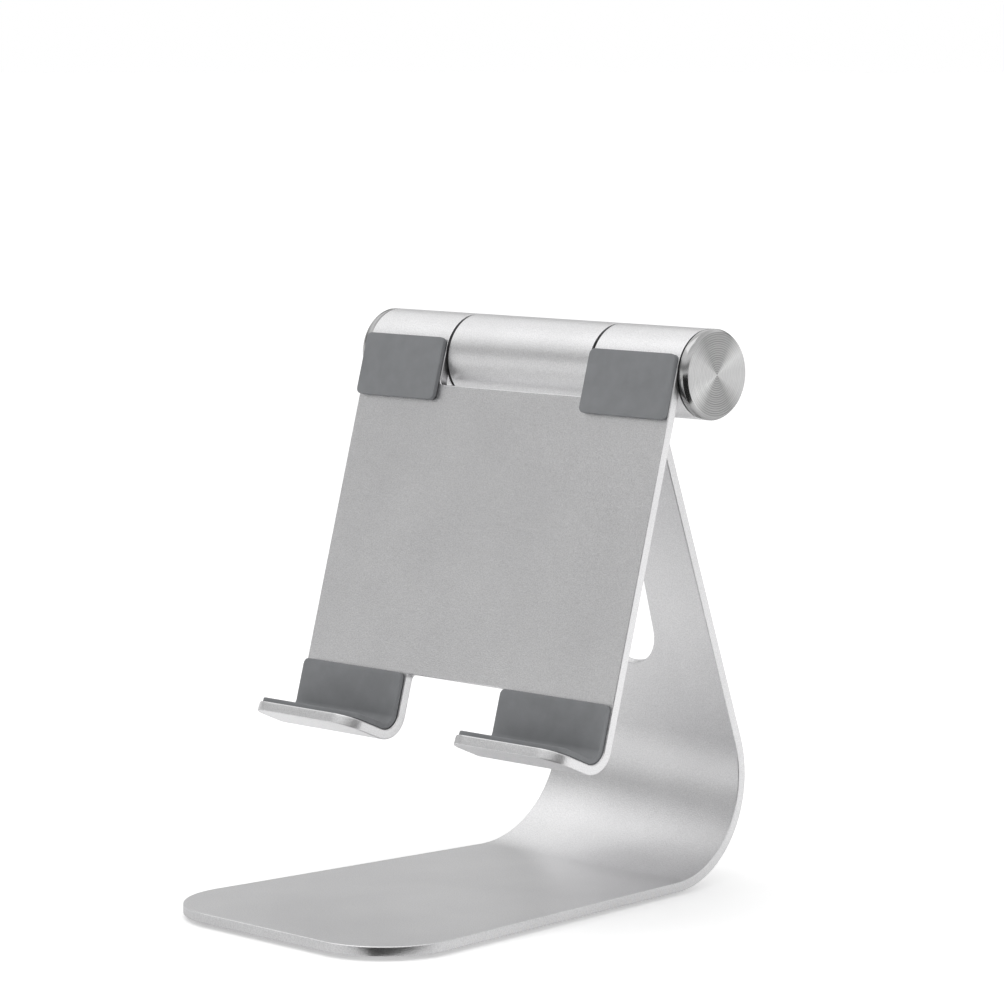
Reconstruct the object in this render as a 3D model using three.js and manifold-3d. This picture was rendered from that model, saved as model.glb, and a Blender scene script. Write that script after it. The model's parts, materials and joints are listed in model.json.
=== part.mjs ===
// Tablet stand: a bent aluminium base plate, and a cradle plate that tilts on a friction hinge.
// Millimetres. X is to the right, Y to the back and Z up; the origin is on the desk, under the
// middle of the stand.

import * as THREE from 'three';
import { mergeVertices } from 'three/addons/utils/BufferGeometryUtils.js';
import Module from 'manifold-3d';

const wasm = await Module();
wasm.setup();

const DEGREE = Math.PI / 180;

// ---------------------------------------------------------------- driving dimensions

// Both plates
const PLATE = 2.5; // sheet thickness
const CHAMFER = 0.3; // polished chamfer round every plate edge
const ADHESIVE = 0.1; // glue film under a pad or a foot
const BEND_STEPS = 24;
const CORNER_STEPS = 8;

// Base: a foot lying on the desk, one bend, and an upright that leans forward over the foot
const FOOT_HEIGHT = 1; // silicone feet, glue film included
const BASE_FRONT_Y = -67.55;
const BASE_FRONT_HALF_WIDTH = 42.6;
const BASE_TOP_HALF_WIDTH = 24.3;
const BASE_CORNER_RADIUS = 20;
const FOOT_LENGTH = 107.1; // from the front edge to the start of the bend
const BASE_BEND_RADIUS = 28; // outside
const UPRIGHT_LEAN = 15.5 * DEGREE; // forward from vertical
const UPRIGHT_LENGTH = 101.84; // from the end of the bend to the hinge line

// Cable slot through the upright
const SLOT_RADIUS = 10;
const SLOT_LOW_CENTRE = 74.2; // both centres measured down the upright from the hinge line
const SLOT_HIGH_CENTRE = 60;

// Hinge barrel
const BARREL_RADIUS = 11;
const KNUCKLE_GAP = 0.9; // between the middle knuckle and each outer one
const BARREL_STEPS = 48;
const SMALL_STEPS = 32;

// Cradle: a flat back plate with two hooked trays below and two knuckles above
const CRADLE_HALF_WIDTH = 53.5;
const CRADLE_RECLINE = 15.53 * DEGREE; // back from vertical
const TRAY_LENGTH = 12.06; // flat part of a tray
const TRAY_RISE = 7.4 * DEGREE; // a tray slopes up to its front edge
const TRAY_CORNER_RADIUS = 6;
const HOOK_BEND_RADIUS = 6.5; // outside
const HOOK_BEND_DROP = 93.31; // from the hinge line down to the centre of the hook bend
const HOOK_GAP_HALF_WIDTH = 17;
const HOOK_GAP_TOP = 82.6; // below the hinge line
const NOTCH_DEPTH = 9.5; // clearance for the middle knuckle, below the hinge line

// Hinge hardware
const SHAFT_RADIUS = 4;
const THREAD_RADIUS = 3;
const CLEARANCE = 0.1; // between neighbours on the shaft
const BUSH_RADIUS = 6;
const BUSH_LENGTH = 12;
const FLANGE_RADIUS = 8;
const FLANGE_THICKNESS = 1;
const FRICTION_WASHER_RADIUS = 8.2;
const SPRING_POCKET_START = 37; // distance from the middle of the hinge
const SPRING_POCKET_RADIUS = 8;
const THRUST_WASHER = 1.2; // thickness
const SPRING_RADIUS = 7.6;
const SPRING_THICKNESS = 0.8;
const SPRING_CONE = 0.6;
const NUT_RADIUS = 5.77; // across corners, halved
const NUT_HEIGHT = 5;
const SHAFT_END = 47.4;

// End caps
const CAP_START = 53.8;
const CAP_FACE = 56.5;
const CAP_FACE_RADIUS = 10.2;
const CAP_RIM = 1.05; // length of the sloping rim
const SPIGOT_RADIUS = 7.6;
const SPIGOT_WALL = 2.2;
const SPIGOT_END = 48.5;
const RING_CENTRE = 51;
const RING_RADIUS = 7.15;
const RING_SECTION_RADIUS = 0.7;

// Pads and feet
const BACK_PAD_WIDTH = 28;
const BACK_PAD_HEIGHT = 16;
const BACK_PAD_TOP = 2.3; // above the hinge line
const BACK_PAD_CORNER = 1.5;
const PAD_FACE = 1.5; // pad surface in front of the plate, glue film included
const TRAY_PAD_FACE = 1;
const PAD_MARGIN = 0.4; // kept back from the side of a hook
const TRAY_PAD_SETBACK = 3; // kept back from the front edge of a tray
const FOOT_RADIUS = 6;
const FEET = [
  ['front_left', -28, -50],
  ['front_right', 28, -50],
  ['rear_left', -24, 32],
  ['rear_right', 24, 32],
];

// ---------------------------------------------------------------- solids and meshes

// A geometry as a manifold solid: only its positions count, and shared corners are merged.
function solidOf(geometry) {
  const bare = new THREE.BufferGeometry();
  bare.setAttribute('position', geometry.getAttribute('position').clone());
  bare.setIndex(geometry.getIndex());
  const merged = mergeVertices(bare, 1e-4);
  return new wasm.Manifold(new wasm.Mesh({
    numProp: 3,
    vertProperties: new Float32Array(merged.getAttribute('position').array),
    triVerts: new Uint32Array(merged.getIndex().array),
  }));
}

function geometryOf(solid) {
  const mesh = solid.getMesh();
  const geometry = new THREE.BufferGeometry();
  geometry.setAttribute('position', new THREE.BufferAttribute(mesh.vertProperties, 3));
  geometry.setIndex(new THREE.BufferAttribute(mesh.triVerts, 1));
  return geometry;
}

function cutFrom(solid, cutters) {
  return cutters.reduce((rest, cutter) => rest.subtract(solidOf(cutter)), solid);
}

function metal(color, roughness) {
  return new THREE.MeshStandardMaterial({ color, roughness, metalness: 1 });
}

function plastic(color, roughness) {
  return new THREE.MeshStandardMaterial({ color, roughness, metalness: 0 });
}

function addPiece(group, name, geometry, material) {
  const mesh = new THREE.Mesh(geometry, material);
  mesh.name = name;
  group.add(mesh);
}

// A solid turned about the X axis. The profile lists [radius, distance from the middle]; side is
// 1 for the right-hand piece and -1 for its twin on the left.
function turned(profile, steps, side = 1) {
  const points = profile.map(([radius, along]) => new THREE.Vector2(radius, along));
  return new THREE.LatheGeometry(points, steps).rotateZ(-side * Math.PI / 2);
}

// A turned ring, from an inner to an outer radius and from one distance to another.
function ring(inner, outer, from, to, steps, side) {
  const profile = [[inner, from], [outer, from], [outer, to], [inner, to], [inner, from]];
  return turned(profile, steps, side);
}

// A turned rod with chamfered ends.
function rod(radius, from, to, chamfer, steps) {
  const profile = [
    [0, from], [radius - chamfer, from], [radius, from + chamfer],
    [radius, to - chamfer], [radius - chamfer, to], [0, to],
  ];
  return turned(profile, steps);
}

// ---------------------------------------------------------------- bent plates

// The side view of a plate with one bend: a flat, an arc and a second flat, in the YZ plane.
// point(s, n) is a distance s along the plate's middle line and n in from its outer face.
function bentProfile({ bendCentre, heading, firstFlat, bendRadius, sweep, secondFlat }) {
  const middleRadius = bendRadius - PLATE / 2;
  const arcLength = middleRadius * sweep;
  const along = (angle) => new THREE.Vector2(Math.cos(angle), Math.sin(angle));
  const inward = (angle) => new THREE.Vector2(-Math.sin(angle), Math.cos(angle));

  function point(s, n) {
    const beforeBend = Math.min(s - firstFlat, 0);
    const afterBend = Math.max(s - firstFlat - arcLength, 0);
    const inBend = s - firstFlat - beforeBend - afterBend;
    const angle = heading + inBend / middleRadius;
    return bendCentre.clone()
      .addScaledVector(inward(angle), n - bendRadius)
      .addScaledVector(along(angle), beforeBend + afterBend);
  }

  const bendStations = [];
  for (let i = 0; i <= BEND_STEPS; i += 1) {
    bendStations.push(firstFlat + arcLength * i / BEND_STEPS);
  }
  return { point, bendStations, length: firstFlat + arcLength + secondFlat };
}

// The right-hand edge of a plate laid out flat, as points with their outward normals: a rounded
// front corner, then a straight side that draws in by the taper angle.
function plateEdge(profile, frontHalfWidth, taper, cornerRadius) {
  const edge = [];
  const cornerX = frontHalfWidth - cornerRadius * (Math.tan(taper) + 1 / Math.cos(taper));
  for (let i = 0; i <= CORNER_STEPS; i += 1) {
    const angle = -Math.PI / 2 + (Math.PI / 2 + taper) * i / CORNER_STEPS;
    const normal = new THREE.Vector2(Math.cos(angle), Math.sin(angle));
    const x = cornerX + cornerRadius * normal.x;
    edge.push({ x, s: cornerRadius * (1 + normal.y), normal });
  }
  const sideNormal = new THREE.Vector2(Math.cos(taper), Math.sin(taper));
  for (const s of [...profile.bendStations, profile.length]) {
    edge.push({ x: frontHalfWidth - s * Math.tan(taper), s, normal: sideNormal });
  }
  return edge;
}

// A plate with the given edge on both sides, chamfered all round and bent along the profile.
// Its corners lie on four levels: the outer face, the two borders of the rim, the inner face.
function bentPlate(profile, edge) {
  const levels = [
    { inset: CHAMFER, n: 0 },
    { inset: 0, n: CHAMFER },
    { inset: 0, n: PLATE - CHAMFER },
    { inset: CHAMFER, n: PLATE },
  ];
  const positions = [];
  for (const { inset, n } of levels) {
    for (const { x, s, normal } of edge) {
      const place = profile.point(s - inset * normal.y, n);
      const halfWidth = x - inset * normal.x;
      positions.push(-halfWidth, place.x, place.y);
      positions.push(halfWidth, place.x, place.y);
    }
  }

  const corner = (level, i, right) => (level * edge.length + i) * 2 + right;
  const index = [];
  const quad = (a, b, c, d) => index.push(a, b, c, a, c, d);
  const top = levels.length - 1;
  const last = edge.length - 1;
  for (let i = 0; i < last; i += 1) {
    quad(corner(0, i, 0), corner(0, i + 1, 0), corner(0, i + 1, 1), corner(0, i, 1));
    quad(corner(top, i, 0), corner(top, i, 1), corner(top, i + 1, 1), corner(top, i + 1, 0));
  }
  for (let level = 0; level < top; level += 1) {
    const up = level + 1;
    for (let i = 0; i < last; i += 1) {
      quad(corner(level, i, 1), corner(level, i + 1, 1), corner(up, i + 1, 1), corner(up, i, 1));
      quad(corner(level, i, 0), corner(up, i, 0), corner(up, i + 1, 0), corner(level, i + 1, 0));
    }
    quad(corner(level, 0, 0), corner(level, 0, 1), corner(up, 0, 1), corner(up, 0, 0));
    quad(corner(level, last, 1), corner(level, last, 0), corner(up, last, 0), corner(up, last, 1));
  }
  const geometry = new THREE.BufferGeometry();
  geometry.setAttribute('position', new THREE.Float32BufferAttribute(positions, 3));
  geometry.setIndex(index);
  return geometry;
}

// ---------------------------------------------------------------- base

const baseProfile = bentProfile({
  bendCentre: new THREE.Vector2(BASE_FRONT_Y + FOOT_LENGTH, FOOT_HEIGHT + BASE_BEND_RADIUS),
  heading: 0,
  firstFlat: FOOT_LENGTH,
  bendRadius: BASE_BEND_RADIUS,
  sweep: Math.PI / 2 + UPRIGHT_LEAN,
  secondFlat: UPRIGHT_LENGTH,
});

// The hinge line is a barrel radius in from the upright's rear face, so that the two are flush.
const hingeLine = baseProfile.point(baseProfile.length, BARREL_RADIUS);

function placedOnHinge(geometry) {
  return geometry.rotateX(UPRIGHT_LEAN).translate(0, hingeLine.x, hingeLine.y);
}

function cableSlot() {
  const reach = 3 * PLATE;
  const outline = new THREE.Shape();
  outline.absarc(0, -SLOT_LOW_CENTRE, SLOT_RADIUS, Math.PI, 2 * Math.PI, false);
  outline.absarc(0, -SLOT_HIGH_CENTRE, SLOT_RADIUS, 0, Math.PI, false);
  const options = { depth: 2 * reach, bevelEnabled: false, curveSegments: 16 };
  const cutter = new THREE.ExtrudeGeometry(outline, options);
  return cutter.rotateX(Math.PI / 2).translate(0, BARREL_RADIUS - PLATE / 2 + reach, 0);
}

function basePlate() {
  const taper = Math.atan((BASE_FRONT_HALF_WIDTH - BASE_TOP_HALF_WIDTH) / baseProfile.length);
  const edge = plateEdge(baseProfile, BASE_FRONT_HALF_WIDTH, taper, BASE_CORNER_RADIUS);
  const plate = solidOf(bentPlate(baseProfile, edge));
  const end = BASE_TOP_HALF_WIDTH;
  const knuckle = rod(BARREL_RADIUS, -end, end, CHAMFER, BARREL_STEPS);
  const pocketDepth = FLANGE_THICKNESS + 2 * CLEARANCE;
  const cutters = [
    rod(BUSH_RADIUS, -end - 1, end + 1, 0.1, SMALL_STEPS),
    rod(FLANGE_RADIUS, end - pocketDepth, end + 1, 0.1, SMALL_STEPS),
    rod(FLANGE_RADIUS, -end - 1, pocketDepth - end, 0.1, SMALL_STEPS),
    cableSlot(),
  ];
  const joined = plate.add(solidOf(placedOnHinge(knuckle)));
  return geometryOf(cutFrom(joined, cutters.map(placedOnHinge)));
}

// A flanged sleeve pressed into the middle knuckle, with its flange flush with the knuckle's end.
function bush(side) {
  const bore = SHAFT_RADIUS + CLEARANCE;
  const sleeve = BUSH_RADIUS - CLEARANCE;
  const flange = FLANGE_RADIUS - 2 * CLEARANCE;
  const end = BASE_TOP_HALF_WIDTH - CLEARANCE;
  const flangeStart = end - FLANGE_THICKNESS;
  const start = end - BUSH_LENGTH;
  const profile = [
    [bore, start], [sleeve, start], [sleeve, flangeStart],
    [flange, flangeStart], [flange, end], [bore, end], [bore, start],
  ];
  return placedOnHinge(turned(profile, SMALL_STEPS, side));
}

function frictionWasher(side) {
  const from = BASE_TOP_HALF_WIDTH + CLEARANCE;
  const to = BASE_TOP_HALF_WIDTH + KNUCKLE_GAP - CLEARANCE;
  const bore = SHAFT_RADIUS + CLEARANCE;
  return placedOnHinge(ring(bore, FRICTION_WASHER_RADIUS, from, to, SMALL_STEPS, side));
}

function foot(x, y) {
  const height = FOOT_HEIGHT - ADHESIVE;
  const disc = new THREE.CylinderGeometry(FOOT_RADIUS - 0.3, FOOT_RADIUS, height, SMALL_STEPS);
  return disc.rotateX(-Math.PI / 2).translate(x, y, height / 2);
}

// ---------------------------------------------------------------- cradle
// Everything here is drawn about the hinge line with the back plate upright; the group that holds
// it leans the whole cradle back.

const cradleProfile = bentProfile({
  bendCentre: new THREE.Vector2(PLATE - BARREL_RADIUS - HOOK_BEND_RADIUS, -HOOK_BEND_DROP),
  heading: -TRAY_RISE,
  firstFlat: TRAY_LENGTH,
  bendRadius: HOOK_BEND_RADIUS,
  sweep: Math.PI / 2 + TRAY_RISE,
  secondFlat: HOOK_BEND_DROP,
});
const knuckleStart = BASE_TOP_HALF_WIDTH + KNUCKLE_GAP;

function box(xHalf, yFrom, yTo, zFrom, zTo) {
  const geometry = new THREE.BoxGeometry(2 * xHalf, yTo - yFrom, zTo - zFrom);
  return geometry.translate(0, (yFrom + yTo) / 2, (zFrom + zTo) / 2);
}

// What is cut away between the two trays: a straight gap that flares at the front edge, where the
// inner corners of the trays are rounded.
function trayGap() {
  const radius = TRAY_CORNER_RADIUS;
  const flare = HOOK_GAP_HALF_WIDTH + radius;
  const back = TRAY_LENGTH + 2 * HOOK_BEND_RADIUS;
  const outline = new THREE.Shape();
  outline.moveTo(-flare, -1);
  outline.lineTo(-flare, 0);
  outline.absarc(-flare, radius, radius, -Math.PI / 2, 0, false);
  outline.lineTo(-HOOK_GAP_HALF_WIDTH, back);
  outline.lineTo(HOOK_GAP_HALF_WIDTH, back);
  outline.absarc(flare, radius, radius, Math.PI, 1.5 * Math.PI, false);
  outline.lineTo(flare, -1);
  const options = { depth: 4 * PLATE, bevelEnabled: false, curveSegments: CORNER_STEPS };
  const cutter = new THREE.ExtrudeGeometry(outline, options);
  const front = cradleProfile.point(0, 0);
  return cutter.translate(0, 0, -PLATE).rotateX(-TRAY_RISE).translate(0, front.x, front.y);
}

function cradlePlate() {
  const edge = plateEdge(cradleProfile, CRADLE_HALF_WIDTH, 0, TRAY_CORNER_RADIUS);
  const reach = 2 * BARREL_RADIUS;
  const front = cradleProfile.point(0, 0);
  const notch = box(knuckleStart, -reach, reach, -NOTCH_DEPTH, reach);
  const gap = box(HOOK_GAP_HALF_WIDTH, front.x - 1, 0, front.y - reach, -HOOK_GAP_TOP);
  let plate = cutFrom(solidOf(bentPlate(cradleProfile, edge)), [notch, gap, trayGap()]);
  for (const [from, to] of [
    [-CRADLE_HALF_WIDTH, -knuckleStart],
    [knuckleStart, CRADLE_HALF_WIDTH],
  ]) {
    plate = plate.add(solidOf(rod(BARREL_RADIUS, from, to, CHAMFER, BARREL_STEPS)));
  }
  const bore = SHAFT_RADIUS + 2 * CLEARANCE;
  const outside = CRADLE_HALF_WIDTH + 1;
  return geometryOf(cutFrom(plate, [
    rod(bore, -outside, outside, 0.1, SMALL_STEPS),
    rod(SPRING_POCKET_RADIUS, -outside, -SPRING_POCKET_START, 0.1, SMALL_STEPS),
    rod(SPRING_POCKET_RADIUS, SPRING_POCKET_START, outside, 0.1, SMALL_STEPS),
  ]));
}

// The shaft: a plain middle with a shoulder and a thinner threaded end on each side.
function hingeShaft() {
  const shoulder = SPRING_POCKET_START - 2 * CLEARANCE;
  const tip = 0.4;
  const half = [
    [SHAFT_RADIUS, shoulder], [THREAD_RADIUS, shoulder],
    [THREAD_RADIUS, SHAFT_END - tip], [THREAD_RADIUS - tip, SHAFT_END], [0, SHAFT_END],
  ];
  const mirrored = half.map(([radius, along]) => [radius, -along]).reverse();
  return turned([...mirrored, ...half], SMALL_STEPS);
}

// A conical spring washer; opening is 1 if its rim faces away from the middle, -1 if towards it.
function discSpring(from, opening, side) {
  const inner = THREAD_RADIUS + 1.5 * CLEARANCE;
  const innerRaise = opening > 0 ? 0 : SPRING_CONE;
  const outerRaise = SPRING_CONE - innerRaise;
  const profile = [
    [inner, from + innerRaise], [SPRING_RADIUS, from + outerRaise],
    [SPRING_RADIUS, from + outerRaise + SPRING_THICKNESS],
    [inner, from + innerRaise + SPRING_THICKNESS], [inner, from + innerRaise],
  ];
  return turned(profile, SMALL_STEPS, side);
}

function lockNut(from, side) {
  const outline = new THREE.Shape();
  for (let i = 0; i < 6; i += 1) {
    const angle = i * Math.PI / 3;
    outline[i ? 'lineTo' : 'moveTo'](NUT_RADIUS * Math.cos(angle), NUT_RADIUS * Math.sin(angle));
  }
  const hole = new THREE.Path();
  hole.absarc(0, 0, THREAD_RADIUS + CLEARANCE, 0, 2 * Math.PI, true);
  outline.holes.push(hole);
  const options = { depth: NUT_HEIGHT, bevelEnabled: false, curveSegments: SMALL_STEPS };
  const nut = new THREE.ExtrudeGeometry(outline, options).rotateY(Math.PI / 2);
  return nut.translate(side > 0 ? from : -from - NUT_HEIGHT, 0, 0);
}

// A cap with a tubular spigot that pushes into the knuckle and a groove for its retaining ring.
function endCap(side) {
  const rim = BARREL_RADIUS;
  const inside = SPIGOT_RADIUS - SPIGOT_WALL;
  const grooveFloor = RING_RADIUS - RING_SECTION_RADIUS - CLEARANCE / 2;
  const grooveHalf = RING_SECTION_RADIUS + CLEARANCE;
  const profile = [
    [0, CAP_START], [inside, CAP_START], [inside, SPIGOT_END],
    [SPIGOT_RADIUS - CHAMFER, SPIGOT_END], [SPIGOT_RADIUS, SPIGOT_END + CHAMFER],
    [SPIGOT_RADIUS, RING_CENTRE - grooveHalf], [grooveFloor, RING_CENTRE - grooveHalf],
    [grooveFloor, RING_CENTRE + grooveHalf], [SPIGOT_RADIUS, RING_CENTRE + grooveHalf],
    [SPIGOT_RADIUS, CAP_START], [rim - CHAMFER, CAP_START], [rim, CAP_START + CHAMFER],
    [rim, CAP_FACE - CAP_RIM], [CAP_FACE_RADIUS, CAP_FACE], [0, CAP_FACE],
  ];
  return turned(profile, BARREL_STEPS, side);
}

function capRing(side) {
  const torus = new THREE.TorusGeometry(RING_RADIUS, RING_SECTION_RADIUS, 8, SMALL_STEPS);
  return torus.rotateY(Math.PI / 2).translate(side * RING_CENTRE, 0, 0);
}

function backPad(side) {
  const halfWidth = BACK_PAD_WIDTH / 2;
  const halfHeight = BACK_PAD_HEIGHT / 2;
  const radius = BACK_PAD_CORNER;
  const outline = new THREE.Shape();
  outline.absarc(halfWidth - radius, halfHeight - radius, radius, 0, Math.PI / 2);
  outline.absarc(radius - halfWidth, halfHeight - radius, radius, Math.PI / 2, Math.PI);
  outline.absarc(radius - halfWidth, radius - halfHeight, radius, Math.PI, 1.5 * Math.PI);
  outline.absarc(halfWidth - radius, radius - halfHeight, radius, 1.5 * Math.PI, 2 * Math.PI);
  const options = { depth: PAD_FACE - ADHESIVE, bevelEnabled: false, curveSegments: 6 };
  const pad = new THREE.ExtrudeGeometry(outline, options).rotateX(Math.PI / 2);
  const middle = side * (knuckleStart + CRADLE_HALF_WIDTH) / 2;
  return pad.translate(middle, -BARREL_RADIUS - ADHESIVE, BACK_PAD_TOP - halfHeight);
}

// A pad that lines a hook: thin on the tray, round the inside of the bend and thicker up the plate.
function hookPad(side) {
  const from = TRAY_PAD_SETBACK;
  const to = cradleProfile.length - HOOK_GAP_TOP;
  const bend = cradleProfile.bendStations;
  const bendStart = bend[0];
  const bendEnd = bend[bend.length - 1];
  const stations = [from, ...bend.filter((s, i) => i % 3 === 0), to];
  const faceAt = (s) => THREE.MathUtils.mapLinear(
    THREE.MathUtils.clamp(s, bendStart, bendEnd), bendStart, bendEnd, TRAY_PAD_FACE, PAD_FACE);
  const glued = stations.map((s) => cradleProfile.point(s, PLATE + ADHESIVE));
  const face = stations.map((s) => cradleProfile.point(s, PLATE + faceAt(s)));
  const width = CRADLE_HALF_WIDTH - HOOK_GAP_HALF_WIDTH - 2 * PAD_MARGIN;
  const options = { depth: width, bevelEnabled: false };
  const outline = new THREE.Shape([...glued, ...face.reverse()]);
  const pad = new THREE.ExtrudeGeometry(outline, options);
  const middle = side * (HOOK_GAP_HALF_WIDTH + CRADLE_HALF_WIDTH) / 2;
  return pad.rotateX(Math.PI / 2).rotateZ(Math.PI / 2).translate(middle - width / 2, 0, 0);
}

// ---------------------------------------------------------------- assembly

const ALUMINIUM = '#c9cacb';
const SPUN_ALUMINIUM = '#bfc1c3';
const STEEL = '#8f9194';
const SPRING_STEEL = '#6f7276';
const BUSH_PLASTIC = '#2b2c2e';
const PAD_RUBBER = '#5b5f63';
const FOOT_RUBBER = '#4a4c4f';
const SIDES = [['left', -1], ['right', 1]];

const stand = new THREE.Group();

const base = new THREE.Group();
addPiece(base, 'base_plate', basePlate(), metal(ALUMINIUM, 0.42));
for (const [name, side] of SIDES) {
  addPiece(base, `bush_${name}`, bush(side), plastic(BUSH_PLASTIC, 0.45));
  addPiece(base, `friction_washer_${name}`, frictionWasher(side), plastic(BUSH_PLASTIC, 0.5));
}
for (const [name, x, y] of FEET) {
  addPiece(base, `foot_${name}`, foot(x, y), plastic(FOOT_RUBBER, 0.75));
}
stand.add(base);

const cradle = new THREE.Group();
cradle.position.set(0, hingeLine.x, hingeLine.y);
cradle.rotation.x = -CRADLE_RECLINE;
addPiece(cradle, 'cradle_plate', cradlePlate(), metal(ALUMINIUM, 0.42));
addPiece(cradle, 'hinge_shaft', hingeShaft(), metal(STEEL, 0.3));

const springLength = SPRING_THICKNESS + SPRING_CONE;
const washerStart = SPRING_POCKET_START + CLEARANCE;
const innerSpringStart = washerStart + THRUST_WASHER + CLEARANCE;
const outerSpringStart = innerSpringStart + springLength + CLEARANCE;
const nutStart = outerSpringStart + springLength + CLEARANCE;
for (const [name, side] of SIDES) {
  const washerBore = THREAD_RADIUS + 1.5 * CLEARANCE;
  const washerEnd = washerStart + THRUST_WASHER;
  const washer = ring(washerBore, SPRING_RADIUS, washerStart, washerEnd, SMALL_STEPS, side);
  const innerSpring = discSpring(innerSpringStart, 1, side);
  const outerSpring = discSpring(outerSpringStart, -1, side);
  addPiece(cradle, `thrust_washer_${name}`, washer, metal(STEEL, 0.35));
  addPiece(cradle, `disc_spring_inner_${name}`, innerSpring, metal(SPRING_STEEL, 0.4));
  addPiece(cradle, `disc_spring_outer_${name}`, outerSpring, metal(SPRING_STEEL, 0.4));
  addPiece(cradle, `lock_nut_${name}`, lockNut(nutStart, side), metal(STEEL, 0.35));
  addPiece(cradle, `cap_ring_${name}`, capRing(side), plastic(BUSH_PLASTIC, 0.6));
  addPiece(cradle, `end_cap_${name}`, endCap(side), metal(SPUN_ALUMINIUM, 0.25));
  addPiece(cradle, `back_pad_${name}`, backPad(side), plastic(PAD_RUBBER, 0.7));
  addPiece(cradle, `hook_pad_${name}`, hookPad(side), plastic(PAD_RUBBER, 0.7));
}
stand.add(cradle);

export default stand;
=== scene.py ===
import json
import math

import bmesh
import bpy
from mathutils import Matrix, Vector


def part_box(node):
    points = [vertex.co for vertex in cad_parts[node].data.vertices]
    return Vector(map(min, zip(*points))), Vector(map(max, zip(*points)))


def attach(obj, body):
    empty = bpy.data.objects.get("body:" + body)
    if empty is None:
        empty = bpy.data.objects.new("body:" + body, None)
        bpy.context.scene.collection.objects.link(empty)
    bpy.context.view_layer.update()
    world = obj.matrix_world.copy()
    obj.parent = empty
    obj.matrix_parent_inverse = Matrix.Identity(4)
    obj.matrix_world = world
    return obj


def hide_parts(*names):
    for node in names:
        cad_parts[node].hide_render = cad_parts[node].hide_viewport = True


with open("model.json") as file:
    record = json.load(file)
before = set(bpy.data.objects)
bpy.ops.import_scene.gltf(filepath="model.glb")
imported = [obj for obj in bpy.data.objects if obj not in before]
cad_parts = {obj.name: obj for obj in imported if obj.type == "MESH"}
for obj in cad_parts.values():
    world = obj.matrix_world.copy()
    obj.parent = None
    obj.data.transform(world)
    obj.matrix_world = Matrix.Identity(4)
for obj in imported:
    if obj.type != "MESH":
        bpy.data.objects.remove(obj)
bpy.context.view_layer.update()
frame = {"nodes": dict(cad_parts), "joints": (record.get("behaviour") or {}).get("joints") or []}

# ---------------------------------------------------------------- driving dimensions, in metres

PLATE = 0.0025  # both aluminium plates
EDGE_ROUND = 0.0003  # polished edge round every plate

BASE_FRONT_HALF_WIDTH = 0.0426
BASE_TOP_HALF_WIDTH = 0.0243
BASE_CORNER_RADIUS = 0.020
FOOT_LENGTH = 0.1071
BASE_BEND_RADIUS = 0.028  # outside
BASE_BEND_STEPS = 64
UPRIGHT_LEAN = math.radians(15.5)
UPRIGHT_LENGTH = 0.10184

SLOT_RADIUS = 0.010
SLOT_LOW_CENTRE = 0.0742  # both centres are measured down the upright from the hinge line
SLOT_HIGH_CENTRE = 0.060

KNUCKLE_GAP = 0.0009
KNUCKLE_ROUND = 0.00015
TURNED_STEPS = 128  # flats round a knuckle or a bore

CRADLE_RECLINE = math.radians(15.53)
TRAY_LENGTH = 0.01206
TRAY_RISE = math.radians(7.4)
TRAY_CORNER_RADIUS = 0.006
HOOK_BEND_RADIUS = 0.0065  # outside
HOOK_BEND_STEPS = 28
HOOK_BEND_DROP = 0.09331  # from the hinge line to the bend's centre
HOOK_GAP_HALF_WIDTH = 0.017
HOOK_GAP_TOP = 0.0826
NOTCH_DEPTH = 0.0095
INNER_CORNER = 0.0012  # fillet in the inner corners of the cradle's cut-outs

BUSH_BORE = 0.006
FLANGE_POCKET = (0.008, 0.0012)  # radius and depth
SHAFT_BORE = 0.0042
SPRING_POCKET = (0.008, 0.037)  # radius and distance from the middle
CUT_PAST = 0.001  # how far a cutter reaches past the end it opens

GLUE = 0.0001  # between a pad and the plate
PAD_FACE = 0.0015  # pad surface in front of the plate
PAD_TOP = 0.0023  # top of the upper pads above the hinge line
PAD_CORNER = 0.0015
PAD_ROUND = 0.00025
PAD_BEND_STEPS = 24
TRAY_PAD_SETBACK = 0.003  # from the front edge of the tray

FOOT_TAPER = 0.0003  # how much smaller the top of a foot is, in radius

CAP_FACE_RADIUS = 0.0102
CAP_RIM = 0.00105  # length of the sloping rim
CAP_START = 0.0538
CAP_STEPS = 160
CAP_SOFT = 0.00012  # rounding of the rim's edges
SPIGOT_RADIUS = 0.0076
SPIGOT_WALL = 0.0022
SPIGOT_CHAMFER = 0.0003
RING_GROOVE = (0.0502, 0.0518, 0.0064)  # from, to, floor radius
FACE_GROOVES = 18
GROOVE_DEPTH = 0.00006
RING_PITCH = 0.00055  # distance between the grooves of the face

HINGE = Vector(frame["joints"][0]["pos_m"])
BASE_LOW, BASE_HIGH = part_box("base_plate")
CRADLE_HALF_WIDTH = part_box("cradle_plate")[1].x
CAP_LOW, CAP_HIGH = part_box("end_cap_right")
BARREL_RADIUS = (CAP_HIGH.z - CAP_LOW.z) / 2

# ---------------------------------------------------------------- camera, floor and light

CAMERA_PLACE = Vector((0.6938, -0.68345, 0.20835))
CAMERA_AZIMUTH = math.radians(44.91)  # turned left from looking along +Y
CAMERA_PITCH = math.radians(6.41)  # below the horizon
SENSOR = 36.0
LENS = 143.53

FLOOR_RADIUS = 40

DARK_NEAR = 0.073  # where the dark corner of the studio starts, from the middle of the stand
DARK_FAR = 0.45
DARK_HEIGHT = 0.14
DARK_NEAR_SPREAD = math.radians(17)  # half angles, either side of the lens
DARK_FAR_SPREAD = math.radians(46)
DARK_STEPS = 24
DARK_LIFT = 0.0005  # above the floor

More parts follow.
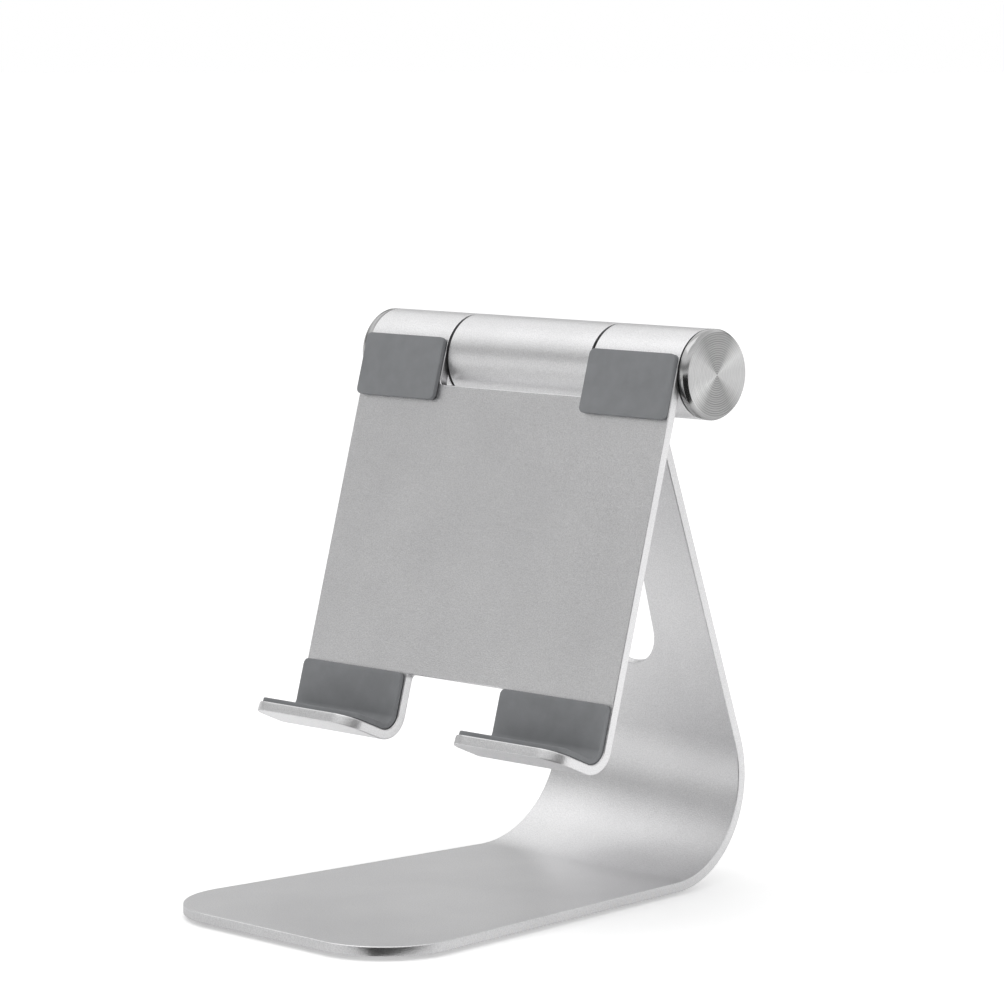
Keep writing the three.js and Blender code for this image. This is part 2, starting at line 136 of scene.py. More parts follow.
OVERHEAD_PLACE = (-0.3, -0.4, 1.6)
OVERHEAD_TARGET = (0, 0, 0.05)
OVERHEAD_SIZE = (1.2, 1.2)
OVERHEAD_POWER = 4  # watts

# painted floor shade and light, seen only in the metal, as (part of the span, tone), from left to
# right
FLOOR_SPAN = (-0.60, 0.20)  # along X
PAINTED_FLOOR_STOPS = [
    (0.0, 0.65), (0.25, 0.48), (0.37, 0.04), (0.46, 0.10), (0.53, 0.70), (0.65, 0.72), (0.70, 0.34),
    (0.78, 0.46), (0.93, 0.94),
]

# brightness of the studio, as (height above the horizon, brightness); the height is the sine of
# the elevation
STUDIO_STOPS = [
    (0.0, 0.98), (0.10, 0.92), (0.21, 0.32), (0.33, 0.32), (0.48, 0.96), (0.64, 1.16), (0.85, 0.90),
    (1.0, 0.82),
]


def add_camera():
    data = bpy.data.cameras.new("camera")
    data.sensor_width = SENSOR
    data.lens = LENS
    data.clip_start = 0.05
    data.clip_end = 100
    camera = bpy.data.objects.new("camera", data)
    camera.location = CAMERA_PLACE
    camera.rotation_euler = (math.pi / 2 - CAMERA_PITCH, 0, CAMERA_AZIMUTH)
    bpy.context.scene.collection.objects.link(camera)
    bpy.context.scene.camera = camera


def add_softbox(name, place, target, size, power):
    """A rectangular light at a place, turned to a target."""
    data = bpy.data.lights.new(name, "AREA")
    data.shape = "RECTANGLE"
    data.size, data.size_y = size
    data.energy = power
    light = bpy.data.objects.new(name, data)
    light.location = place
    light.rotation_euler = (Vector(target) - Vector(place)).to_track_quat("-Z", "Y").to_euler()
    light.visible_camera = False
    bpy.context.scene.collection.objects.link(light)


def add_floor():
    bm = bmesh.new()
    bmesh.ops.create_circle(bm, cap_ends=True, segments=96, radius=FLOOR_RADIUS)
    floor = mesh_object("floor", bm)
    floor.data.materials.append(floor_material())


def add_dark_corner():
    """The unlit side of the studio, round the lens. The rounded corners and turned edges reflect it
    as dark lines; nothing else sees it."""
    spots = [
        (DARK_NEAR, DARK_NEAR_SPREAD, 0),
        (DARK_FAR, DARK_FAR_SPREAD, 0),
        (DARK_FAR, DARK_FAR_SPREAD, DARK_HEIGHT),
    ]
    bm = bmesh.new()
    rows = []
    for i in range(DARK_STEPS + 1):
        turn = 2 * i / DARK_STEPS - 1
        row = []
        for radius, spread, z in spots:
            angle = CAMERA_AZIMUTH - math.pi / 2 + spread * turn
            row.append(bm.verts.new((radius * math.cos(angle), radius * math.sin(angle), z)))
        rows.append(row)
    for one, two in zip(rows, rows[1:]):
        for i in range(2):
            bm.faces.new([one[i], one[i + 1], two[i + 1], two[i]])
    corner = mesh_object("dark_corner", bm)
    corner.data.materials.append(dark_material())
    corner.location.z = DARK_LIFT
    corner.visible_camera = False
    corner.visible_diffuse = False
    corner.visible_shadow = False


def add_world():
    """Bands of light and shade round the stand, which the metal reflects, and white for the lens."""
    world = bpy.data.worlds.new("studio")
    world.use_nodes = True
    tree = world.node_tree
    background = tree.nodes["Background"]
    place = tree.nodes.new("ShaderNodeTexCoord")
    split = tree.nodes.new("ShaderNodeSeparateXYZ")
    ramp = tree.nodes.new("ShaderNodeValToRGB")
    brightest = max(value for _, value in STUDIO_STOPS)
    fill_ramp(ramp, [(height, grey(value / brightest)) for height, value in STUDIO_STOPS])
    tree.links.new(place.outputs["Generated"], split.inputs["Vector"])
    tree.links.new(split.outputs["Z"], ramp.inputs["Fac"])
    tree.links.new(ramp.outputs["Color"], background.inputs["Color"])
    background.inputs["Strength"].default_value = brightest
    backdrop = tree.nodes.new("ShaderNodeBackground")
    backdrop.inputs["Color"].default_value = (1, 1, 1, 1)
    backdrop.inputs["Strength"].default_value = 1.0
    rays = tree.nodes.new("ShaderNodeLightPath")
    mix = tree.nodes.new("ShaderNodeMixShader")
    tree.links.new(rays.outputs["Is Camera Ray"], mix.inputs["Fac"])
    tree.links.new(background.outputs["Background"], mix.inputs[1])
    tree.links.new(backdrop.outputs["Background"], mix.inputs[2])
    tree.links.new(mix.outputs["Shader"], tree.nodes["World Output"].inputs["Surface"])
    bpy.context.scene.world = world


# ---------------------------------------------------------------- materials


def grey(value, tint=(0.0, 0.0, 0.0)):
    return tuple(value + t for t in tint)


def fill_ramp(ramp, stops):
    """Gives a colour ramp its (position, colour) stops."""
    elements = ramp.color_ramp.elements
    while len(elements) < len(stops):
        elements.new(0.5)
    for element, (position, colour) in zip(elements, stops):
        element.position = position
        element.color = (*colour, 1)


class Nodes:
    """A short way to add and link the nodes of one material."""

    def __init__(self, name):
        self.material = bpy.data.materials.new(name)
        self.material.use_nodes = True
        self.tree = self.material.node_tree
        self.shader = self.tree.nodes["Principled BSDF"]
        self.place = self.add("ShaderNodeTexCoord").outputs["Object"]

    def add(self, kind, **values):
        node = self.tree.nodes.new(kind)
        for key, value in values.items():
            setattr(node, key, value)
        return node

    def link(self, output, target):
        self.tree.links.new(output, target)

    def noise(self, scale, detail=2.0, stretch=(1, 1, 1)):
        mapping = self.add("ShaderNodeMapping")
        mapping.inputs["Scale"].default_value = stretch
        self.link(self.place, mapping.inputs["Vector"])
        noise = self.add("ShaderNodeTexNoise")
        noise.inputs["Scale"].default_value = scale
        noise.inputs["Detail"].default_value = detail
        self.link(mapping.outputs["Vector"], noise.inputs["Vector"])
        return noise.outputs["Fac"]

    def ramp(self, value, stops):
        ramp = self.add("ShaderNodeValToRGB")
        fill_ramp(ramp, stops)
        self.link(value, ramp.inputs["Fac"])
        return ramp.outputs["Color"]

    def remap(self, value, low, high, from_low=0.0, from_high=1.0):
        remap = self.add("ShaderNodeMapRange")
        remap.inputs["From Min"].default_value = from_low
        remap.inputs["From Max"].default_value = from_high
        remap.inputs["To Min"].default_value = low
        remap.inputs["To Max"].default_value = high
        self.link(value, remap.inputs["Value"])
        return remap.outputs["Result"]

    def math(self, operation, *values):
        """A maths node of numbers and sockets."""
        node = self.add("ShaderNodeMath", operation=operation)
        for socket, value in zip(node.inputs, values):
            if isinstance(value, float):
                socket.default_value = value
            else:
                self.link(value, socket)
        return node.outputs["Value"]

    def multiply(self, one, two):
        mix = self.add("ShaderNodeMix", data_type="RGBA", blend_type="MULTIPLY")
        mix.inputs["Factor"].default_value = 1.0
        self.link(one, mix.inputs["A"])
        self.link(two, mix.inputs["B"])
        return mix.outputs["Result"]

    def bump(self, height, strength, distance, below=None):
        bump = self.add("ShaderNodeBump")
        bump.inputs["Strength"].default_value = strength
        bump.inputs["Distance"].default_value = distance
        self.link(height, bump.inputs["Height"])
        if below is not None:
            self.link(below, bump.inputs["Normal"])
        return bump.outputs["Normal"]

    def set(self, **values):
        """Sets the shader's own sockets; an underscore stands for a space in a socket's name."""
        for key, value in values.items():
            self.shader.inputs[key.replace("_", " ")].default_value = value


def blasted_aluminium():
    """Bead-blasted, clear-anodised aluminium: a satin grain with slow, faint changes of tone."""
    n = Nodes("blasted_aluminium")
    n.set(Metallic=1.0)
    grain = n.noise(3400, 3)
    cloud = n.noise(45, 4)
    tone = n.ramp(cloud, [(0.3, grey(0.78, (0.002, 0, 0.008))), (0.7, grey(0.83, (0.002, 0, 0.006)))])
    speckle = n.ramp(grain, [(0.35, grey(0.84)), (0.65, grey(1.0))])
    n.link(n.multiply(tone, speckle), n.shader.inputs["Base Color"])
    n.link(n.remap(grain, 0.28, 0.36, 0.3, 0.7), n.shader.inputs["Roughness"])
    fine = n.bump(grain, 0.6, 0.0001)
    n.link(n.bump(n.noise(1300, 2), 0.25, 0.0001, fine), n.shader.inputs["Normal"])
    return n.material


def polished_edge():
    """The diamond-cut edge: brighter and smoother than the blasted faces, with fine cutter lines."""
    n = Nodes("polished_edge")
    n.set(Metallic=1.0)
    lines = n.noise(1500, 2)
    n.link(n.ramp(lines, [(0.2, grey(0.88)), (0.8, grey(0.95))]), n.shader.inputs["Base Color"])
    n.link(n.remap(lines, 0.16, 0.26), n.shader.inputs["Roughness"])
    n.link(n.bump(lines, 0.1, 0.00003), n.shader.inputs["Normal"])
    return n.material


def spun_aluminium():
    """The turned face of an end cap. Fine rings spread the light across themselves; the face's two
    light and two dark sectors are a painted sheen in its base colour, and its grooves carry painted
    shade."""
    n = Nodes("spun_aluminium")
    n.set(Metallic=1.0, Anisotropic=0.85, Anisotropic_Rotation=0.25)
    tangent = n.add("ShaderNodeTangent", direction_type="RADIAL", axis="X")
    n.link(tangent.outputs["Tangent"], n.shader.inputs["Tangent"])
    around = n.add("ShaderNodeMapping")
    around.inputs["Location"].default_value = (0, -HINGE.y, -HINGE.z)
    around.inputs["Scale"].default_value = (0, 1, 1)
    n.link(n.place, around.inputs["Vector"])
    split = n.add("ShaderNodeSeparateXYZ")
    n.link(around.outputs["Vector"], split.inputs["Vector"])
    radius = n.add("ShaderNodeVectorMath", operation="LENGTH")
    n.link(around.outputs["Vector"], radius.inputs[0])
    turn = n.math("ARCTAN2", split.outputs["Z"], split.outputs["Y"])
    # the sectors of the painted sheen, round the hinge line
    sector = n.math("COSINE", n.math("MULTIPLY", turn, 2.0))
    spiral = n.add("ShaderNodeCombineXYZ")
    n.link(radius.outputs["Value"], spiral.inputs["X"])
    n.link(n.math("MULTIPLY", turn, 0.00004), spiral.inputs["Y"])
    cuts = n.add("ShaderNodeTexNoise")
    cuts.inputs["Scale"].default_value = 5200
    cuts.inputs["Detail"].default_value = 2
    n.link(spiral.outputs["Vector"], cuts.inputs["Vector"])
    lines = cuts.outputs["Fac"]
    cut_tone = n.ramp(lines, [(0.3, grey(0.64)), (0.7, grey(0.76))])
    # painted sheen: the base colour is lighter towards front and back and darker towards top and
    # bottom of the face
    painted_sheen_tone = n.ramp(n.remap(sector, 0, 1, -1, 1), [(0.25, grey(0.60)), (0.75, grey(1.0))])
    # painted shade: the base colour is darker, down to 0.70, at the bottom of each groove, most in
    # the dark sectors at top and bottom
    rings = n.math("SINE", n.math("MULTIPLY", radius.outputs["Value"], 2 * math.pi / RING_PITCH))
    shade = n.math("MULTIPLY", n.remap(rings, 1, 0, -1, 0), n.remap(sector, 1, 0.3, -0.6, 0.6))
    painted_groove_shade = n.ramp(shade, [(0.0, grey(1.0)), (1.0, grey(0.70))])
    tone = n.multiply(n.multiply(cut_tone, painted_sheen_tone), painted_groove_shade)
    n.link(tone, n.shader.inputs["Base Color"])
    n.link(n.remap(lines, 0.34, 0.42), n.shader.inputs["Roughness"])
    n.link(n.bump(lines, 0.3, 0.00004), n.shader.inputs["Normal"])
    return n.material


def turned_rim():
    """The rim of an end cap, cut smoother than the face; its darker base colour is a painted dark
    reflection.
    """
    n = Nodes("turned_rim")
    n.set(Metallic=1.0)
    lines = n.noise(2600, 2, (1, 0.02, 0.02))
    # painted dark reflection: the base colour is 0.40-0.47, about half as light as the plates
    n.link(n.ramp(lines, [(0.2, grey(0.40)), (0.8, grey(0.47))]), n.shader.inputs["Base Color"])
    n.link(n.remap(lines, 0.14, 0.22), n.shader.inputs["Roughness"])
    n.link(n.bump(lines, 0.1, 0.00003), n.shader.inputs["Normal"])
    return n.material


def silicone(name, tone, roughness):
    """Matte silicone rubber with a soft mottling and a faint moulded texture."""
    n = Nodes(name)
    n.set(Metallic=0.0, Specular_IOR_Level=0.35)
    low = tuple(0.88 * c for c in tone)
    mottle = n.noise(220, 3)
    n.link(n.ramp(mottle, [(0.3, low), (0.7, tone)]), n.shader.inputs["Base Color"])
    texture = n.noise(3200, 2)
    n.link(n.remap(texture, roughness - 0.06, roughness + 0.06), n.shader.inputs["Roughness"])
    n.link(n.bump(texture, 0.3, 0.00008), n.shader.inputs["Normal"])
    return n.material


def machined_steel(name, tone, roughness):
    """Turned or stamped steel: fine rings round the hinge line."""
    n = Nodes(name)
    n.set(Metallic=1.0)
    rings = n.noise(900, 2, (1, 0.05, 0.05))
    low = tuple(0.85 * c for c in tone)
    n.link(n.ramp(rings, [(0.3, low), (0.7, tone)]), n.shader.inputs["Base Color"])
    n.link(n.remap(rings, roughness - 0.05, roughness + 0.08), n.shader.inputs["Roughness"])
    n.link(n.bump(rings, 0.2, 0.00005), n.shader.inputs["Normal"])
    return n.material


def moulded_plastic():
    """Dark, slightly textured plastic."""
    n = Nodes("moulded_plastic")
    n.set(Metallic=0.0)
    texture = n.noise(1800, 2)
    n.link(n.ramp(texture, [(0.3, grey(0.02)), (0.7, grey(0.035))]), n.shader.inputs["Base Color"])
    n.link(n.remap(texture, 0.38, 0.55), n.shader.inputs["Roughness"])
    n.link(n.bump(texture, 0.2, 0.00005), n.shader.inputs["Normal"])
    return n.material


def dark_material():
    """Black felt."""
    n = Nodes("dark_studio")
    n.set(Metallic=0.0, Roughness=0.9, Specular_IOR_Level=0.1)
    felt = n.noise(400, 2)
    n.link(n.ramp(felt, [(0.3, grey(0.02)), (0.7, grey(0.03))]), n.shader.inputs["Base Color"])
    return n.material


def floor_material():
    """White paper. For glossy rays its colour is painted in bands of lighter and darker grey, a
    painted reflection so that the edges stand out; from below it isn't there."""
    n = Nodes("floor")
    n.set(Metallic=0.0, Roughness=0.7, Emission_Color=(1, 1, 1, 1), Emission_Strength=0.30)
    white = n.ramp(n.noise(300, 2), [(0.3, grey(0.90)), (0.7, grey(0.92))])
    across = n.add("ShaderNodeSeparateXYZ")
    n.link(n.place, across.inputs["Vector"])
    side = n.remap(across.outputs["X"], 0, 1, *FLOOR_SPAN)
    # painted reflection: the floor's colour as glossy rays see it, in bands along X
    painted_reflection = n.ramp(side, [(stop, grey(value)) for stop, value in PAINTED_FLOOR_STOPS])
    mix = n.add("ShaderNodeMix", data_type="RGBA")
    n.link(n.add("ShaderNodeLightPath").outputs["Is Glossy Ray"], mix.inputs["Factor"])
    n.link(white, mix.inputs["A"])
    n.link(painted_reflection, mix.inputs["B"])
    n.link(mix.outputs["Result"], n.shader.inputs["Base Color"])
    clear = n.add("ShaderNodeMixShader")
    n.link(n.add("ShaderNodeNewGeometry").outputs["Backfacing"], clear.inputs["Fac"])
    n.link(n.shader.outputs["BSDF"], clear.inputs[1])
    n.link(n.add("ShaderNodeBsdfTransparent").outputs["BSDF"], clear.inputs[2])
    n.link(clear.outputs["Shader"], n.tree.nodes["Material Output"].inputs["Surface"])
    return n.material


# ---------------------------------------------------------------- mesh tools


def mesh_object(name, bm):
    mesh = bpy.data.meshes.new(name)
    bm.to_mesh(mesh)
    bm.free()
    obj = bpy.data.objects.new(name, mesh)
    bpy.context.scene.collection.objects.link(obj)
    return obj


def apply_modifiers(obj):
    """Turns the result of the modifiers into the object's own mesh."""
    bpy.context.view_layer.update()
    graph = bpy.context.evaluated_depsgraph_get()
    mesh = bpy.data.meshes.new_from_object(obj.evaluated_get(graph), depsgraph=graph)
    obj.modifiers.clear()
    obj.data = mesh
    mesh.name = obj.name


def smooth(obj, angle=32):
    """Smooth shading, but for edges that are sharper than an angle in degrees."""
    obj.data.polygons.foreach_set("use_smooth", [True] * len(obj.data.polygons))
    obj.data.set_sharp_from_angle(angle=math.radians(angle))


def combine(obj, others, operation):
    """Joins the other solids to obj, or cuts them from it, and removes them."""
    for other in others:
        modifier = obj.modifiers.new(operation, "BOOLEAN")
        modifier.operation = operation
        modifier.solver = "EXACT"
        modifier.object = other
    apply_modifiers(obj)
    for other in others:
        bpy.data.objects.remove(other)


def arc(centre, radius, start, end, steps):
    """Points on a circle, from one angle to another in degrees."""
    points = []
    for i in range(steps + 1):
        angle = math.radians(start + (end - start) * i / steps)
        points.append((centre[0] + radius * math.cos(angle), centre[1] + radius * math.sin(angle)))
    return points


def lathe(name, profile, steps=TURNED_STEPS, side=1):
    """A solid turned about the hinge line from (radius, distance from the middle) points."""
    bm = bmesh.new()
    rings = []
    for radius, along in profile:
        if radius == 0:
            rings.append([bm.verts.new((side * along, HINGE.y, HINGE.z))])
            continue
        ring = []
        for i in range(steps):
            angle = 2 * math.pi * i / steps
            y = HINGE.y + radius * math.cos(angle)
            z = HINGE.z + radius * math.sin(angle)
            ring.append(bm.verts.new((side * along, y, z)))
        rings.append(ring)
    for one, two in zip(rings, rings[1:]):
        for i in range(steps):
            j = (i + 1) % steps
            corners = [one[i % len(one)], one[j % len(one)], two[j % len(two)], two[i % len(two)]]
            bm.faces.new(list(dict.fromkeys(corners)))
    bmesh.ops.recalc_face_normals(bm, faces=bm.faces)
    return mesh_object(name, bm)


def rod(name, radius, start, end, rounding=0.0):
    """A turned rod with rounded ends; a cutter has no rounding."""
    if rounding == 0:
        return lathe(name, [(0, start), (radius, start), (radius, end), (0, end)])
    low = arc((radius - rounding, start + rounding), rounding, -90, 0, 4)
    high = arc((radius - rounding, end - rounding), rounding, 0, 90, 4)
    return lathe(name, [(0, start), *low, *high, (0, end)])


class Bend:
    """The side view of a plate with one bend: a flat, an arc and a second flat."""

    def __init__(self, centre, heading, first_flat, radius, sweep, second_flat):
        self.centre = centre  # (y, z)
        self.heading = heading
        self.first_flat = first_flat
        self.radius = radius  # outside
        self.middle_radius = radius - PLATE / 2
        self.arc_length = self.middle_radius * sweep
        self.length = first_flat + self.arc_length + second_flat

    def place(self, x, s, n):
        """The point a distance s along the plate's middle line and n in from its outer face."""
        before = min(s - self.first_flat, 0)
        after = max(s - self.first_flat - self.arc_length, 0)
        angle = self.heading + (s - self.first_flat - before - after) / self.middle_radius
        inward, along = n - self.radius, before + after
        y = self.centre[0] - math.sin(angle) * inward + math.cos(angle) * along
        z = self.centre[1] + math.cos(angle) * inward + math.sin(angle) * along
        return Vector((x, y, z))

    def stations(self, steps):
        return [self.first_flat + self.arc_length * i / steps for i in range(steps + 1)]


def bent_sheet(name, bend, half_outline, thickness, rounding, steps, lift=0.0, segments=3):
    """A plate or pad cut flat, with rounded edges, then bent. Its outline is drawn for the right
    half, as (x, s) points, and mirrored; the middle faces of the rounded edges get material 1."""
    bm = bmesh.new()
    bm.faces.new([bm.verts.new((x, s, 0)) for x, s in half_outline])
    for s in bend.stations(steps):
        geometry = bm.verts[:] + bm.edges[:] + bm.faces[:]
        bmesh.ops.bisect_plane(bm, geom=geometry, plane_co=(0, s, 0), plane_no=(0, 1, 0), dist=1e-7)
    if min(x for x, s in half_outline) < 1e-6:
        geometry = bm.verts[:] + bm.edges[:] + bm.faces[:]
        bmesh.ops.mirror(bm, geom=geometry, axis="X", merge_dist=1e-6)
    bmesh.ops.recalc_face_normals(bm, faces=bm.faces)
    if bm.faces[:][0].normal.z < 0:
        bmesh.ops.reverse_faces(bm, faces=bm.faces)
    sheet = mesh_object(name, bm)
    solidify = sheet.modifiers.new("thickness", "SOLIDIFY")
    solidify.thickness = thickness
    solidify.offset = 1
    edges = sheet.modifiers.new("edges", "BEVEL")
    edges.width = rounding
    edges.segments = segments
    edges.limit_method = "ANGLE"
    edges.angle_limit = math.radians(60)
    edges.material = 1
    for _ in range(2):
        sheet.data.materials.append(None)
    apply_modifiers(sheet)
    for vertex in sheet.data.vertices:
        x, s, n = vertex.co
        vertex.co = bend.place(x, s, n + lift)
    return sheet


# ---------------------------------------------------------------- base


def base_bend():
    centre = (BASE_LOW.y + FOOT_LENGTH, BASE_LOW.z + BASE_BEND_RADIUS)
    sweep = math.pi / 2 + UPRIGHT_LEAN
    return Bend(centre, 0, FOOT_LENGTH, BASE_BEND_RADIUS, sweep, UPRIGHT_LENGTH)


def base_outline(bend):
    """The right half of the flat blank: rounded front corner, tapering side, cable slot."""
    taper = math.atan((BASE_FRONT_HALF_WIDTH - BASE_TOP_HALF_WIDTH) / bend.length)
    radius = BASE_CORNER_RADIUS
    corner_x = BASE_FRONT_HALF_WIDTH - radius * (math.tan(taper) + 1 / math.cos(taper))
    corner = arc((corner_x, radius), radius, -90, math.degrees(taper), 40)
    high = arc((0, bend.length - SLOT_HIGH_CENTRE), SLOT_RADIUS, 90, 0, 24)
    low = arc((0, bend.length - SLOT_LOW_CENTRE), SLOT_RADIUS, 0, -90, 24)
    top = [(BASE_TOP_HALF_WIDTH, bend.length), (0, bend.length)]
    return [(0, 0), *corner, *top, *high, *low]


def make_base_plate(materials):
    bend = base_bend()
    outline = base_outline(bend)
    plate = bent_sheet("stand_base", bend, outline, PLATE, EDGE_ROUND, BASE_BEND_STEPS)
    for vertex in plate.data.vertices:
        vertex.co.y = min(vertex.co.y, BASE_HIGH.y)
    end = BASE_TOP_HALF_WIDTH
    combine(plate, [rod("knuckle", BARREL_RADIUS, -end, end, KNUCKLE_ROUND)], "UNION")
    radius, depth = FLANGE_POCKET
    cutters = [
        rod("bore", BUSH_BORE, -end - CUT_PAST, end + CUT_PAST),
        rod("pocket", radius, end - depth, end + CUT_PAST),
        rod("pocket", radius, -end - CUT_PAST, depth - end),
    ]
    combine(plate, cutters, "DIFFERENCE")
    finish_metal(plate, materials)
    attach(plate, "base")
    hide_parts("base_plate")


def finish_metal(obj, materials):
    """The plate's faces have the first material and its rounded edges the second."""
    obj.data.materials.clear()
    for material in materials:
        obj.data.materials.append(material)
    smooth(obj)
    normals = obj.modifiers.new("normals", "WEIGHTED_NORMAL")
    normals.keep_sharp = True


# ---------------------------------------------------------------- cradle


def cradle_bend():
    """The cradle's side view in the row frame: drawn about the hinge line, then leant back."""
    y, z = PLATE - BARREL_RADIUS - HOOK_BEND_RADIUS, -HOOK_BEND_DROP
    c, s = math.cos(CRADLE_RECLINE), math.sin(CRADLE_RECLINE)
    centre = (HINGE.y + y * c + z * s, HINGE.z - y * s + z * c)
    heading = -TRAY_RISE - CRADLE_RECLINE
    sweep = math.pi / 2 + TRAY_RISE
    return Bend(centre, heading, TRAY_LENGTH, HOOK_BEND_RADIUS, sweep, HOOK_BEND_DROP)


def cradle_outline(bend):
    """The right half of the flat blank: inner edge of the tray, tray front, side and top."""
    gap, wide, radius = HOOK_GAP_HALF_WIDTH, CRADLE_HALF_WIDTH, TRAY_CORNER_RADIUS
    fillet = INNER_CORNER
    gap_top = bend.length - HOOK_GAP_TOP
    notch = bend.length - NOTCH_DEPTH
    knuckle = BASE_TOP_HALF_WIDTH + KNUCKLE_GAP
    return [
        (0, gap_top),
        *arc((gap - fillet, gap_top - fillet), fillet, 90, 0, 5),
        *arc((gap + radius, radius), radius, 180, 270, 20),
        *arc((wide - radius, radius), radius, -90, 0, 20),
        (wide, bend.length),
        (knuckle, bend.length),
        *arc((knuckle - fillet, notch + fillet), fillet, 0, -90, 5),
        (0, notch),
    ]


def make_cradle_plate(materials):
    bend = cradle_bend()
    outline = cradle_outline(bend)
    plate = bent_sheet("stand_cradle", bend, outline, PLATE, EDGE_ROUND, HOOK_BEND_STEPS)
    start, end = BASE_TOP_HALF_WIDTH + KNUCKLE_GAP, CRADLE_HALF_WIDTH
    knuckles = [
        rod("knuckle", BARREL_RADIUS, start, end, KNUCKLE_ROUND),
        rod("knuckle", BARREL_RADIUS, -end, -start, KNUCKLE_ROUND),
    ]
    combine(plate, knuckles, "UNION")
    radius, pocket = SPRING_POCKET
    cutters = [
        rod("bore", SHAFT_BORE, -end - CUT_PAST, end + CUT_PAST),
        rod("pocket", radius, pocket, end + CUT_PAST),
        rod("pocket", radius, -end - CUT_PAST, -pocket),
    ]
    combine(plate, cutters, "DIFFERENCE")
    finish_metal(plate, materials)
    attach(plate, "cradle")
    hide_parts("cradle_plate")


# ---------------------------------------------------------------- end caps


def cap_profile():
    """From the middle of the spigot, round the rim and over the grooved face."""
    outer, face = BARREL_RADIUS, CAP_HIGH.x
    inside = SPIGOT_RADIUS - SPIGOT_WALL
    groove_from, groove_to, floor = RING_GROOVE
    chamfer, soft = SPIGOT_CHAMFER, CAP_SOFT
    body = [
        (0, CAP_START), (inside, CAP_START), (inside, CAP_LOW.x),
        (SPIGOT_RADIUS - chamfer, CAP_LOW.x), (SPIGOT_RADIUS, CAP_LOW.x + chamfer),
        (SPIGOT_RADIUS, groove_from), (floor, groove_from), (floor, groove_to),
        (SPIGOT_RADIUS, groove_to), (SPIGOT_RADIUS, CAP_START),
        (outer - chamfer, CAP_START), (outer, CAP_START + chamfer),
        (outer, face - CAP_RIM - soft), (outer - soft, face - CAP_RIM + soft),
        (CAP_FACE_RADIUS + soft, face - soft), (CAP_FACE_RADIUS - soft, face),
    ]
    grooves = []
    for i in range(FACE_GROOVES):
        middle = RING_PITCH * (FACE_GROOVES - 0.25 - i)
        grooves.append((middle + 0.25 * RING_PITCH, face))
        grooves.append((middle, face - GROOVE_DEPTH))
        grooves.append((middle - 0.25 * RING_PITCH, face))
    return body + grooves + [(0, face)]


def make_end_cap(name, side, spun, rim):
    """A turned cap: its rim has the second material, the rest the first."""
    cap = lathe(f"cap_{name}", cap_profile(), CAP_STEPS, side)
    cap.data.materials.append(spun)
    cap.data.materials.append(rim)
    for polygon in cap.data.polygons:
        along = side * polygon.center.x
        if CAP_START < along < CAP_HIGH.x - CAP_SOFT:
            polygon.material_index = 1
    smooth(cap, 40)
    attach(cap, "cradle")
    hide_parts(f"end_cap_{name}")


# ---------------------------------------------------------------- pads and feet


def rounded_rectangle(low, high, radius, steps=6):
    (x0, y0), (x1, y1) = low, high
    return [
        *arc((x0 + radius, y0 + radius), radius, 180, 270, steps),
        *arc((x1 - radius, y0 + radius), radius, -90, 0, steps),
        *arc((x1 - radius, y1 - radius), radius, 0, 90, steps),
        *arc((x0 + radius, y1 - radius), radius, 90, 180, steps),
    ]


def make_back_pad(name, bend, material):
    """A flat pad on the front of the plate and the knuckle above it."""
    low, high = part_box(f"back_pad_{name}")
    thickness = PAD_FACE - GLUE
    height = (high.z - low.z - thickness * math.sin(CRADLE_RECLINE)) / math.cos(CRADLE_RECLINE)
    top = bend.length + PAD_TOP
    outline = rounded_rectangle((low.x, top - height), (high.x, top), PAD_CORNER)
    pad = bent_sheet(
        f"pad_back_{name}", bend, outline, thickness, PAD_ROUND, PAD_BEND_STEPS, PLATE + GLUE)
    finish_rubber(pad, material)
    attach(pad, "cradle")
    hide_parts(f"back_pad_{name}")


def make_hook_pad(name, bend, material):
    """A pad that lines a hook: along the tray, round the bend and up the plate."""
    low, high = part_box(f"hook_pad_{name}")
    top = bend.length - HOOK_GAP_TOP
    outline = rounded_rectangle((low.x, TRAY_PAD_SETBACK), (high.x, top), PAD_CORNER)
    pad = bent_sheet(
        f"pad_hook_{name}", bend, outline, PAD_FACE - GLUE, PAD_ROUND, PAD_BEND_STEPS, PLATE + GLUE)
    finish_rubber(pad, material)
    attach(pad, "cradle")
    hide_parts(f"hook_pad_{name}")


def finish_rubber(obj, material):
    obj.data.materials.clear()
    obj.data.materials.append(material)
    obj.data.polygons.foreach_set("material_index", [0] * len(obj.data.polygons))
    smooth(obj, 50)


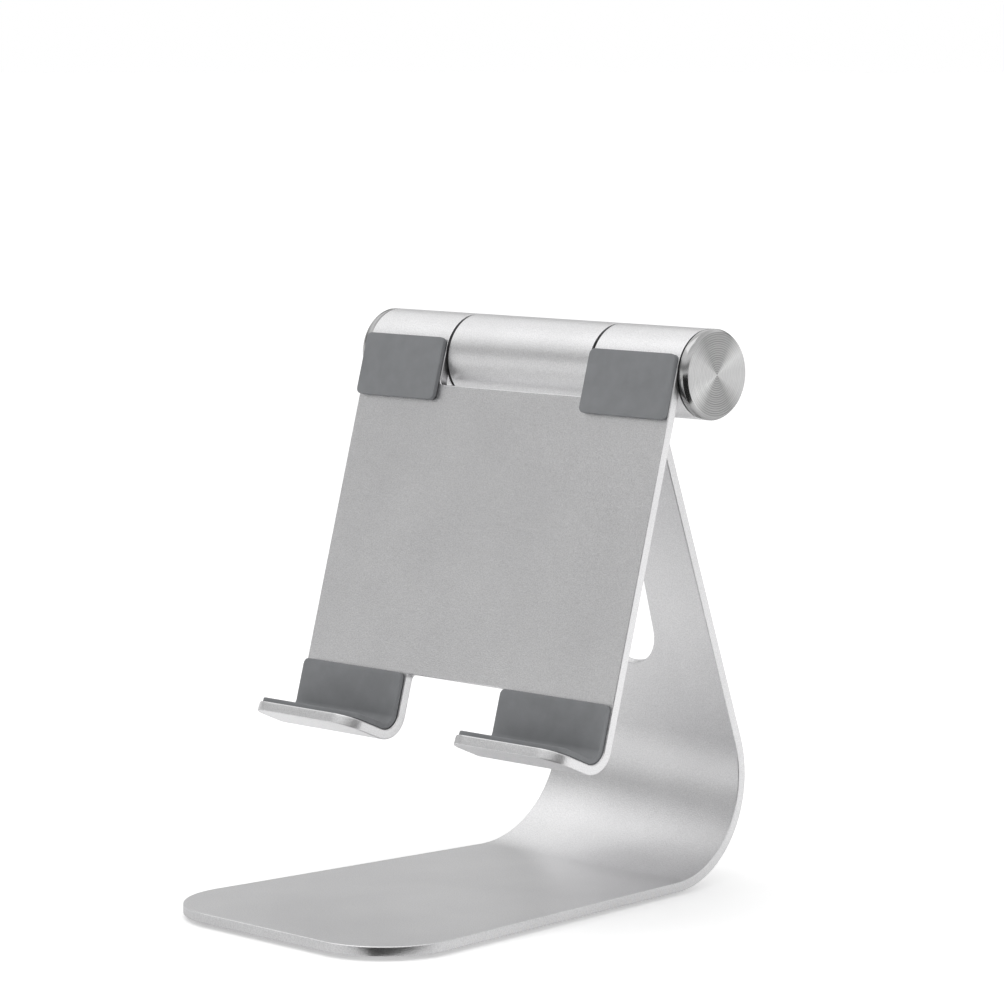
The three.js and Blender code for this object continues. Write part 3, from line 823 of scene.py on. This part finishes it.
def make_foot(name, material):
    """A round foot with softened rims."""
    low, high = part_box(f"foot_{name}")
    radius, height = (high.x - low.x) / 2, high.z - low.z
    bm = bmesh.new()
    bmesh.ops.create_cone(
        bm, cap_ends=True, segments=64, radius1=radius, radius2=radius - FOOT_TAPER, depth=height)
    rims = [e for e in bm.edges if abs(e.verts[0].co.z - e.verts[1].co.z) < 1e-7]
    bmesh.ops.bevel(bm, geom=rims, offset=PAD_ROUND, segments=3, affect="EDGES", profile=0.5)
    bmesh.ops.translate(bm, verts=bm.verts, vec=(low + high) / 2)
    foot = mesh_object(f"silicone_foot_{name}", bm)
    finish_rubber(foot, material)
    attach(foot, "base")
    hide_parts(f"foot_{name}")


# ---------------------------------------------------------------- assembly


def dress_hinge_pieces():
    """The pieces inside the barrel keep their own solids and get materials."""
    steel = machined_steel("turned_steel", grey(0.50, (0, 0.002, 0.006)), 0.28)
    spring = machined_steel("spring_steel", grey(0.30, (0, 0.003, 0.008)), 0.32)
    plastic = moulded_plastic()
    rubber = silicone("ring_rubber", grey(0.02), 0.6)
    finishes = {
        "bush": plastic,
        "friction_washer": plastic,
        "thrust_washer": steel,
        "hinge_shaft": steel,
        "lock_nut": steel,
        "disc_spring": spring,
        "cap_ring": rubber,
    }
    for node, obj in frame["nodes"].items():
        for start, material in finishes.items():
            if node.startswith(start):
                obj.data.materials.clear()
                obj.data.materials.append(material)
                smooth(obj)


def build():
    metal = [blasted_aluminium(), polished_edge()]
    spun, rim = spun_aluminium(), turned_rim()
    pad = silicone("pad_silicone", (0.208, 0.214, 0.222), 0.62)
    foot = silicone("foot_silicone", (0.06, 0.062, 0.066), 0.62)
    make_base_plate(metal)
    make_cradle_plate(metal)
    bend = cradle_bend()
    for name, side in (("left", -1), ("right", 1)):
        make_end_cap(name, side, spun, rim)
        make_back_pad(name, bend, pad)
        make_hook_pad(name, bend, pad)
        for row in ("front", "rear"):
            make_foot(f"{row}_{name}", foot)
    dress_hinge_pieces()


bpy.context.scene.view_settings.view_transform = "Standard"
add_camera()
add_world()
add_floor()
add_dark_corner()
add_softbox("overhead", OVERHEAD_PLACE, OVERHEAD_TARGET, OVERHEAD_SIZE, OVERHEAD_POWER)
build()
